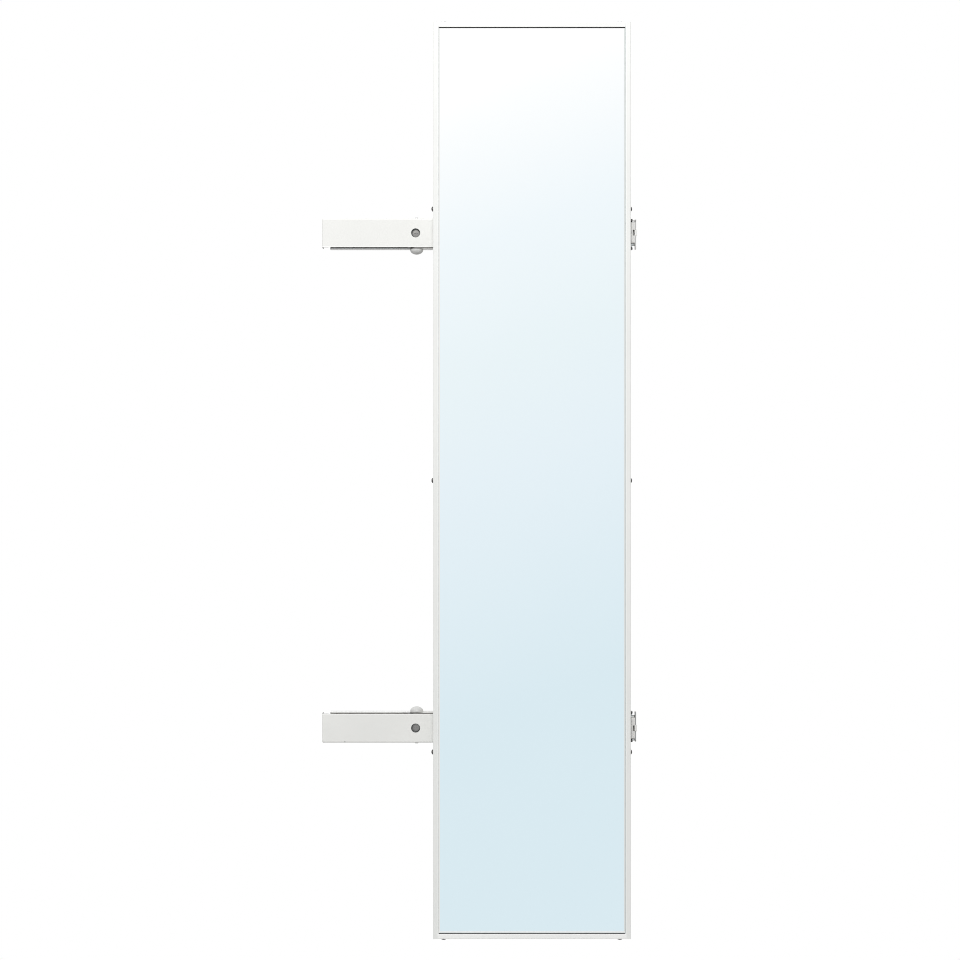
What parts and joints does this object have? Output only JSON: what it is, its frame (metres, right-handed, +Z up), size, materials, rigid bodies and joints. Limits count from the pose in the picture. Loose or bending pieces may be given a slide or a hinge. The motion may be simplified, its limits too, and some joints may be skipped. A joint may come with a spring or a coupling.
{
  "type": "pull out closet mirror",
  "caption": "Tall framed wardrobe mirror on ball bearing slides, pulled out on channel brackets and swung a quarter turn on vertical pivots.",
  "frame": {"origin": "centre of the fixing holes in the two outer rails, on the face of the wardrobe side panel", "axes": "+X towards the back of the wardrobe, +Y into the side panel, +Z up; the mirror faces -Y when stowed"},
  "size_m": [0.4692, 0.0535, 1.3612],
  "materials": {
    "rail_zinc": "bright zinc plate, satin, light rolling marks",
    "rail_middle": "bright zinc plate, satin",
    "cage_steel": "plain steel strip",
    "ball_steel": "polished bearing steel",
    "bumper_nylon": "natural nylon, moulded",
    "bracket_white": "white powder coat",
    "bracket_hardware": "zinc plate",
    "zinc_casting": "as-cast zinc",
    "friction_screw_zinc": "zinc plate",
    "pin_steel": "ground steel",
    "dome_nylon": "grey nylon, moulded",
    "bush_nylon": "natural nylon",
    "arm_white": "white powder coat, cut edges bare",
    "frame_white": "white powder coat on extruded aluminium",
    "plug_plastic": "white moulded plastic",
    "connector_plastic": "grey glass-filled nylon",
    "cross_rail_steel": "galvanised sheet",
    "mirror_silver": "clear float glass, silvered",
    "board": "hardboard, smooth one side",
    "tape": "white foam tape",
    "gasket_grey": "light grey extruded rubber",
    "gasket_black": "black extruded rubber",
    "screw_dark": "dark zinc",
    "screw_zinc": "zinc plate",
    "buffer_rubber": "soft grey rubber"
  },
  "bodies": {
    "side_rails": {"upper_outer_rail": "rail_zinc", "lower_outer_rail": "rail_zinc", "upper_rail_bumper": "bumper_nylon", "lower_rail_bumper": "bumper_nylon"},
    "middle_rails": {"upper_middle_rail": "rail_middle", "lower_middle_rail": "rail_middle"},
    "outer_cages": {"upper_outer_ball_cage": "cage_steel", "lower_outer_ball_cage": "cage_steel", "upper_outer_balls": "ball_steel", "lower_outer_balls": "ball_steel"},
    "inner_cages": {"upper_inner_ball_cage": "cage_steel", "lower_inner_ball_cage": "cage_steel", "upper_inner_balls": "ball_steel", "lower_inner_balls": "ball_steel"},
    "carriage": {"upper_inner_rail": "rail_zinc", "lower_inner_rail": "rail_zinc", "upper_carrier_bracket": "bracket_white", "lower_carrier_bracket": "bracket_white", "upper_bracket_screws": "bracket_hardware", "lower_bracket_screws": "bracket_hardware", "upper_bracket_nuts": "bracket_hardware", "lower_bracket_nuts": "bracket_hardware", "upper_pivot_block": "zinc_casting", "lower_pivot_block": "zinc_casting", "upper_block_screws": "bracket_hardware", "lower_block_screws": "bracket_hardware", "upper_friction_screw": "friction_screw_zinc", "lower_friction_screw": "friction_screw_zinc", "upper_pivot_pin": "pin_steel", "lower_pivot_pin": "pin_steel", "upper_dome_cap": "dome_nylon", "lower_dome_cap": "dome_nylon"},
    "mirror": {"upper_hinge_arm": "arm_white", "lower_hinge_arm": "arm_white", "upper_arm_screws": "bracket_hardware", "lower_arm_screws": "bracket_hardware", "upper_pivot_bush": "bush_nylon", "lower_pivot_bush": "bush_nylon", "upper_cross_rail": "cross_rail_steel", "lower_cross_rail": "cross_rail_steel", "left_stile": "frame_white", "right_stile": "frame_white", "top_member": "frame_white", "bottom_member": "frame_white", "stile_end_plugs": "plug_plastic", "corner_connectors": "connector_plastic", "connector_screws": "screw_zinc", "middle_cross_rail": "cross_rail_steel", "mirror_glass": "mirror_silver", "adhesive_tape": "tape", "backing_board": "board", "left_gasket": "gasket_grey", "right_gasket": "gasket_grey", "top_gasket": "gasket_black", "bottom_gasket": "gasket_black", "side_screws": "screw_dark", "top_screws": "screw_dark", "bottom_screws": "screw_dark", "buffer_pads": "buffer_rubber"}
  },
  "joints": [
    {"name": "pull_out", "type": "slide", "parent": "side_rails", "child": "carriage", "axis": [-1, 0, 0], "range_m": [0, 0.457]},
    {"name": "middle_rail_slide", "type": "slide", "parent": "side_rails", "child": "middle_rails", "axis": [-1, 0, 0], "range_m": [0, 0.2286]},
    {"name": "outer_cage_slide", "type": "slide", "parent": "side_rails", "child": "outer_cages", "axis": [-1, 0, 0], "range_m": [0, 0.1144]},
    {"name": "inner_cage_slide", "type": "slide", "parent": "side_rails", "child": "inner_cages", "axis": [-1, 0, 0], "range_m": [0, 0.343]},
    {"name": "swing", "type": "hinge", "parent": "carriage", "child": "mirror", "pos_m": [-0.0835, -0.0226, 0], "axis": [0, 0, -1], "range_deg": [0, 90]}
  ],
  "couplings": [
    {"joint": "middle_rail_slide", "follows": "pull_out", "ratio": 0.5},
    {"joint": "outer_cage_slide", "follows": "pull_out", "ratio": 0.25},
    {"joint": "inner_cage_slide", "follows": "pull_out", "ratio": 0.75}
  ]
}
